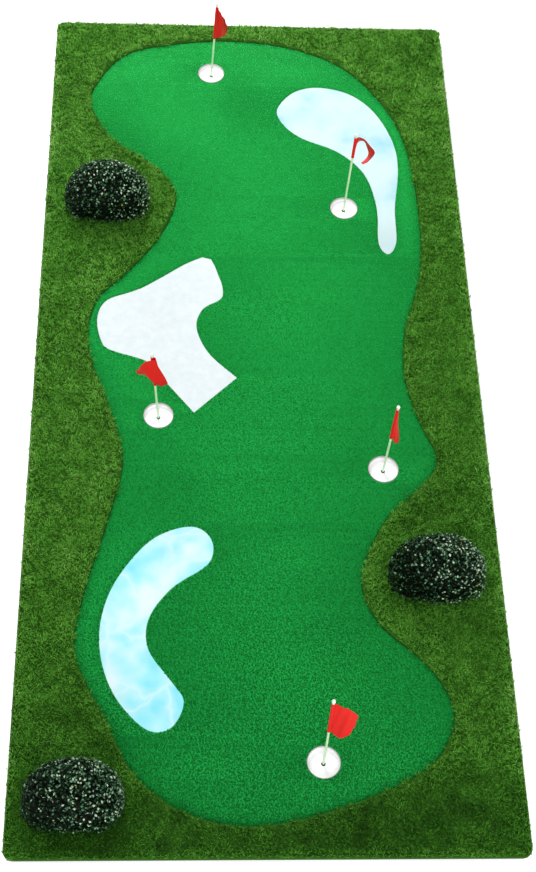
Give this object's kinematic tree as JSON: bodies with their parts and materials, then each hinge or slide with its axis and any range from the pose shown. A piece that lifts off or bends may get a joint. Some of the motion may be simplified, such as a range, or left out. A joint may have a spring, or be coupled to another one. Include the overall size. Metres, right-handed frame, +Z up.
{
  "type": "practice putting mat",
  "caption": "Practice putting mat with a contoured green, shaggy border, inlaid bunker and water, cups with leaning flagsticks, and lift-off bushes.",
  "frame": {"origin": "centre of the mat's outline on the floor under it", "axes": "+X across the mat to the right, +Y to the far end, +Z up"},
  "size_m": [1.6, 3.5, 0.4238],
  "materials": {
    "foam": "closed-cell foam, matt",
    "tape": "woven seam tape",
    "backing": "latex-coated turf backing",
    "green_turf": "short dense nylon pile",
    "rough_turf": "long curled mixed pile",
    "sand": "smooth white short pile",
    "water": "printed pale blue short pile",
    "cup": "glossy white moulding",
    "rubber": "matt black",
    "pole": "smooth off-white fibreglass",
    "metal": "turned",
    "cloth": "red woven nylon",
    "leaves": "moulded leaves",
    "bush_plastic": "dark green moulding"
  },
  "bodies": {
    "mat": {"base_pad_front": "foam", "base_pad_middle": "foam", "base_pad_back": "foam", "seam_tape": "tape", "rough_backing_far": "backing", "rough_turf_far": "rough_turf", "rough_backing_near": "backing", "rough_turf_near": "rough_turf", "rough_backing_left": "backing", "rough_turf_left": "rough_turf", "rough_backing_right": "backing", "rough_turf_right": "rough_turf", "putting_backing": "backing", "putting_turf": "green_turf", "water_far_backing": "backing", "water_far_inlay": "water", "water_near_backing": "backing", "water_near_inlay": "water", "bunker_backing": "backing", "bunker_inlay": "sand", "cup_1": "cup", "grommet_1": "rubber", "cup_2": "cup", "grommet_2": "rubber", "cup_3": "cup", "grommet_3": "rubber", "cup_4": "cup", "grommet_4": "rubber", "cup_5": "cup", "grommet_5": "rubber"},
    "stick_1": {"pole_1": "pole", "ferrule_1": "metal", "knob_1": "pole"},
    "pennant_1": {"pennant_1": "cloth"},
    "stick_2": {"pole_2": "pole", "ferrule_2": "metal", "knob_2": "pole"},
    "pennant_2": {"pennant_2": "cloth"},
    "stick_3": {"pole_3": "pole", "ferrule_3": "metal", "knob_3": "pole"},
    "pennant_3": {"pennant_3": "cloth"},
    "stick_4": {"pole_4": "pole", "ferrule_4": "metal", "knob_4": "pole"},
    "pennant_4": {"pennant_4": "cloth"},
    "stick_5": {"pole_5": "pole", "ferrule_5": "metal", "knob_5": "pole"},
    "pennant_5": {"pennant_5": "cloth"},
    "bush_1": {"bush_1_foliage": "leaves", "bush_1_plate": "bush_plastic", "bush_1_stake": "bush_plastic"},
    "bush_2": {"bush_2_foliage": "leaves", "bush_2_plate": "bush_plastic", "bush_2_stake": "bush_plastic"},
    "bush_3": {"bush_3_foliage": "leaves", "bush_3_plate": "bush_plastic", "bush_3_stake": "bush_plastic"}
  },
  "joints": [
    {"name": "stick_1_lift", "type": "slide", "parent": "mat", "child": "stick_1", "axis": [0.0365, -0.0317, 0.9988], "range_m": [0, 0.15]},
    {"name": "pennant_1_turn", "type": "hinge", "parent": "stick_1", "child": "pennant_1", "pos_m": [-0.161, 1.483, 0.0135], "axis": [0.0365, -0.0317, 0.9988], "continuous": true},
    {"name": "stick_2_lift", "type": "slide", "parent": "mat", "child": "stick_2", "axis": [0.0268, 0.0658, 0.9975], "range_m": [0, 0.15]},
    {"name": "pennant_2_turn", "type": "hinge", "parent": "stick_2", "child": "pennant_2", "pos_m": [0.35, 0.779, 0.0135], "axis": [0.0268, 0.0658, 0.9975], "continuous": true},
    {"name": "stick_3_lift", "type": "slide", "parent": "mat", "child": "stick_3", "axis": [-0.0463, -0.0122, 0.9989], "range_m": [0, 0.15]},
    {"name": "pennant_3_turn", "type": "hinge", "parent": "stick_3", "child": "pennant_3", "pos_m": [-0.355, -0.177, 0.0135], "axis": [-0.0463, -0.0122, 0.9989], "continuous": true},
    {"name": "stick_4_lift", "type": "slide", "parent": "mat", "child": "stick_4", "axis": [0.0097, 0.0268, 0.9996], "range_m": [0, 0.15]},
    {"name": "pennant_4_turn", "type": "hinge", "parent": "stick_4", "child": "pennant_4", "pos_m": [0.43, -0.391, 0.0135], "axis": [0.0097, 0.0268, 0.9996], "continuous": true},
    {"name": "stick_5_lift", "type": "slide", "parent": "mat", "child": "stick_5", "axis": [-0.0024, 0.1242, 0.9922], "range_m": [0, 0.15]},
    {"name": "pennant_5_turn", "type": "hinge", "parent": "stick_5", "child": "pennant_5", "pos_m": [0.176, -1.448, 0.0135], "axis": [-0.0024, 0.1242, 0.9922], "continuous": true},
    {"name": "bush_1_lift", "type": "slide", "parent": "mat", "child": "bush_1", "axis": [0, 0, 1], "range_m": [0, 0.15]},
    {"name": "bush_2_lift", "type": "slide", "parent": "mat", "child": "bush_2", "axis": [0, 0, 1], "range_m": [0, 0.15]},
    {"name": "bush_3_lift", "type": "slide", "parent": "mat", "child": "bush_3", "axis": [0, 0, 1], "range_m": [0, 0.15]}
  ]
}
